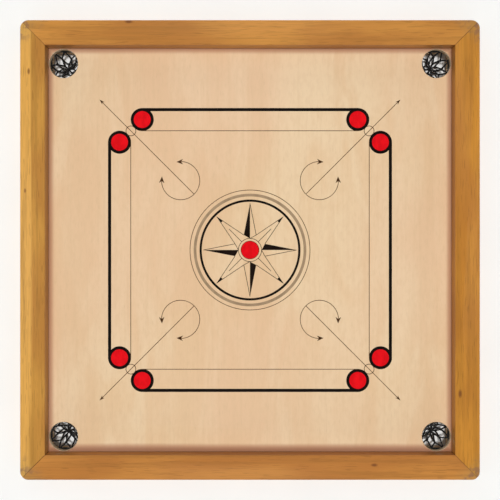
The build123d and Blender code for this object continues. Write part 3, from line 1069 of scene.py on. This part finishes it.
def net_paths(settings, draws, room, drop):
    """The cords and knots of one net, about its pocket's middle on the sheet's underside, with the rails
    on the +X and +Y sides. Rows of knots run down from the head line to the foot, each half a step on."""
    radius = settings.cord / 2
    columns = settings.columns
    limit = room - settings.head_cord / 2
    step = 0.8 * MM
    lean = Vector((draws.uniform(-3.0, 1.0), draws.uniform(-3.0, 1.0), 0)) * MM
    clear = radius * 1.1  # from a cord's middle to what it lies against, with its strands' swell
    floor = clear - drop
    # Each row's reach from the middle, its height and its share of the net's lean
    rows = (
        (settings.inner_turn, -clear, 0.0),
        (14.6 * MM, -11.5 * MM, 0.4),
        (7.4 * MM, floor + 1.2 * MM, 1.0),
    )
    start = draws.uniform(0, math.tau)
    points = []
    for index, (reach, height, share) in enumerate(rows):
        row = []
        for column in range(columns):
            loose = 0.10 if index == 0 else 0.22
            angle = start + math.tau * (column + index / 2 + draws.uniform(-loose, loose)) / columns
            if index == 0:
                away = head_line(angle, reach, limit)
            else:
                away = reach * draws.uniform(0.86, 1.12)
            lift = draws.uniform(-1.0, 1.6) * MM if index else 0.0
            point = Vector((away * math.cos(angle), away * math.sin(angle), max(floor, height + lift)))
            row.append(point + lean * share)
        points.append(row)
    foot = lean + Vector((0, 0, floor + 0.5 * MM))

    cords = []
    turns = ((settings.inner_turn, 0.53), (settings.outer_turn, 0.60))
    for free, depth in turns:
        # Where a rail squeezes the two turns together, the outer one dives under the inner one
        dive = 8 * (free - settings.inner_turn)
        loop = []
        count = math.ceil(math.tau * free / step)
        for i in range(count):
            angle = math.tau * i / count
            away = head_line(angle, free, limit)
            level = -settings.head_cord * depth - dive * (free - away) / free
            loop.append(Vector((away * math.cos(angle), away * math.sin(angle), level)))
        cords.append((loop, settings.head_cord / 2, True))
    for index in range(len(rows) - 1):
        for column in range(columns):
            top = points[index][column]
            for below in (points[index + 1][column], points[index + 1][column - 1]):
                slack = Vector((draws.uniform(-0.6, 0.6), draws.uniform(-0.6, 0.6), -0.5)) * MM
                if top.z + below.z < 2 * (floor + MM):
                    slack.z = 0.2 * MM
                cords.append((bowed(top, below, slack, step), radius, False))
    for column in range(columns):
        cords.append((bowed(points[-1][column], foot, Vector((0, 0, 0.4 * MM)), step), radius, False))
    knots = []
    for point, size in [(point, KNOT_SIZE) for row in points for point in row] + [(foot, FOOT_KNOT_SIZE)]:
        reach = size + settings.head_cord * KNOT_CORD
        place = point.copy()
        place.x = min(place.x, room - reach)
        place.y = min(place.y, room - reach)
        place.z = min(max(place.z, reach - drop), -reach)
        knots.append((place, size))
    return cords, knots


class CARROM_OT_pocket_nets(bpy.types.Operator):
    """Knots a net of laid cord under each pocket"""

    bl_idname = "carrom.pocket_nets"
    bl_label = "Pocket nets"

    def execute(self, context):
        settings = context.scene.carrom_net
        finish = twisted_cord("three-ply cotton cord", settings.black)
        for index, (corner, (side_x, side_y)) in enumerate(CORNERS.items()):
            node = f"pocket_net_{corner}"
            low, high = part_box(node)
            centre = pocket_centre(corner)
            room = abs((high.x if side_x > 0 else low.x) - centre.x)
            seed = 81 + 7 * index
            draws = random.Random(seed)
            cords, knots = net_paths(settings, draws, room, centre.z - low.z)
            verts, faces = [], []

            def placed(point):
                return centre + Vector((point.x * side_x, point.y * side_y, point.z))

            for path, radius, closed in cords:
                sweep(verts, faces, [placed(p) for p in path], radius, settings.lay, closed)
            for point, size in knots:
                knot(verts, faces, placed(point), size, settings.head_cord * KNOT_CORD, draws)
            mesh = bpy.data.meshes.new(f"net_{corner}")
            mesh.from_pydata([tuple(v) for v in verts], [], faces)
            net = bpy.data.objects.new(f"net_{corner}", mesh)
            context.scene.collection.objects.link(net)
            pick_piece(net)
            bpy.ops.object.shade_smooth()
            finished(net, finish, "net_cord", node)
        return {"FINISHED"}


class CARROM_OT_net_tacks(bpy.types.Operator):
    """Models one domed tack and drives a copy at each place between the turns of the nets' head lines"""

    bl_idname = "carrom.net_tacks"
    bl_label = "Net tacks"

    def execute(self, context):
        low, high = loose_parts("net_tacks_front_left")[0]
        head = (high.x - low.x) / 2
        length = high.z - low.z
        outline = (
            (head * 0.35, 0),
            (head * 0.7, 0.16 * MM),
            (head * 0.92, 0.42 * MM),
            (head, 0.72 * MM),
            (head * 0.93, 0.9 * MM),
            (TACK_SHANK, 1.05 * MM),
            (TACK_SHANK, length - TACK_POINT),
            (0.08 * MM, length),
        )
        tack = turned("tack", outline, 20)
        steel = context.scene.carrom_net.tack_steel
        finish = plain_steel("blued steel tacks", steel, 0.38, TACK_TARNISH, MM)
        for corner in CORNERS:
            placings = []
            for low, high in loose_parts(f"net_tacks_{corner}"):
                middle = (low + high) / 2
                placings.append(Matrix.Translation((middle.x, middle.y, low.z)))
            piece = driven(tack, placings, f"tacks_{corner}")
            smooth(piece, 50)
            finished(piece, finish, "tack_steel", f"net_tacks_{corner}")
        bpy.data.objects.remove(tack)
        return {"FINISHED"}


def soft_light(name, place, size, watts):
    """A square soft box that faces the board's middle."""
    lamp = bpy.data.lights.new(name, "AREA")
    lamp.shape = "SQUARE"
    lamp.size = size
    lamp.energy = watts
    light = bpy.data.objects.new(name, lamp)
    light.location = place
    light.rotation_mode = "QUATERNION"
    light.rotation_quaternion = (-Vector(place)).to_track_quat("-Z", "Y")
    bpy.context.scene.collection.objects.link(light)


class CARROM_OT_stage(bpy.types.Operator):
    """Lays a pale floor and sets soft studio light and a camera above the board"""

    bl_idname = "carrom.stage"
    bl_label = "Stage"

    def execute(self, context):
        settings = context.scene.carrom_stage
        bpy.ops.object.select_all(action="DESELECT")
        floor_width = 60
        bpy.ops.mesh.primitive_plane_add(size=floor_width, location=(0, 0, 0))
        floor = settle(context.object, "studio_floor")
        floor.data.materials.append(studio_floor("matt white floor paint", settings.floor))

        world = bpy.data.worlds.new("soft studio")
        world.use_nodes = True
        background = world.node_tree.nodes["Background"]
        background.inputs["Color"].default_value = (0.97, 0.97, 0.965, 1.0)
        # The walls are bright near the floor, to light the board's sides. Higher up they are dim, and the
        # ceiling right overhead is dimmer still, so that the varnish doesn't mirror it as a haze.
        tree = world.node_tree
        direction = add(tree, "ShaderNodeTexCoord", {}, {}).outputs["Generated"]
        height = add(tree, "ShaderNodeSeparateXYZ", {}, {"Vector": direction}).outputs["Z"]
        walls = ramp(tree, height, 0.28, 0.46, 0.93, 0.10)
        ceiling = ramp(tree, height, 0.88, 0.99, 1.0, 0.3)
        strength = reckon(tree, "MULTIPLY", walls, ceiling)
        tree.links.new(strength, background.inputs["Strength"])
        context.scene.world = world
        sky = bpy.data.lights.new("overhead_light", "SUN")
        sky.energy = 2.3
        sky.angle = math.radians(12)
        overhead = bpy.data.objects.new("overhead_light", sky)
        overhead.visible_glossy = False
        context.scene.collection.objects.link(overhead)
        away, rise, size, watts = 1.25, 2.2, 0.8, 2.8
        for name, x, y in (("left", -1, 0), ("right", 1, 0), ("front", 0, -1), ("back", 0, 1)):
            soft_light(f"{name}_box", (x * away, y * away, rise), size, watts)

        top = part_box("rail_right")[1].z
        lens = bpy.data.cameras.new("camera")
        lens.lens = lens.sensor_width * settings.camera_distance / settings.picture_width
        camera = bpy.data.objects.new("camera", lens)
        rise = settings.camera_elevation
        camera.location = UP * top + settings.camera_distance * Vector((0, -math.cos(rise), math.sin(rise)))
        camera.rotation_euler = (math.pi / 2 - rise, 0, 0)
        context.scene.collection.objects.link(camera)
        context.scene.camera = camera
        context.scene.view_settings.view_transform = "Standard"
        return {"FINISHED"}


SETTINGS = {
    "carrom_frame": FrameSettings,
    "carrom_sheet": SheetSettings,
    "carrom_lattice": LatticeSettings,
    "carrom_net": NetSettings,
    "carrom_stage": StageSettings,
}
OPERATORS = (
    CARROM_OT_frame_rails,
    CARROM_OT_mitre_keys,
    CARROM_OT_corner_nails,
    CARROM_OT_playing_sheet,
    CARROM_OT_printing,
    CARROM_OT_lattice,
    CARROM_OT_batten_screws,
    CARROM_OT_pocket_nets,
    CARROM_OT_net_tacks,
    CARROM_OT_stage,
)


class CARROM_PT_sidebar(bpy.types.Panel):
    """Lists the board's settings and the steps that build it"""

    bl_idname = "CARROM_PT_sidebar"
    bl_label = "Carrom board"
    bl_space_type = "VIEW_3D"
    bl_region_type = "UI"
    bl_category = "Carrom board"

    def draw(self, context):
        for name, group in SETTINGS.items():
            box = self.layout.box()
            for setting in group.__annotations__:
                box.prop(getattr(context.scene, name), setting)
        for operator in OPERATORS:
            self.layout.operator(operator.bl_idname)


def register():
    for group in SETTINGS.values():
        bpy.utils.register_class(group)
    for name, group in SETTINGS.items():
        setattr(bpy.types.Scene, name, bpy.props.PointerProperty(type=group))
    for operator in OPERATORS:
        bpy.utils.register_class(operator)
    bpy.utils.register_class(CARROM_PT_sidebar)


def unregister():
    bpy.utils.unregister_class(CARROM_PT_sidebar)
    for operator in reversed(OPERATORS):
        bpy.utils.unregister_class(operator)
    for name, group in SETTINGS.items():
        delattr(bpy.types.Scene, name)
        bpy.utils.unregister_class(group)


def main():
    register()
    bpy.ops.carrom.frame_rails()
    bpy.ops.carrom.mitre_keys()
    bpy.ops.carrom.corner_nails()
    bpy.ops.carrom.playing_sheet()
    bpy.ops.carrom.printing()
    bpy.ops.carrom.lattice()
    bpy.ops.carrom.batten_screws()
    bpy.ops.carrom.pocket_nets()
    bpy.ops.carrom.net_tacks()
    bpy.ops.carrom.stage()


if __name__ == "__main__":
    main()
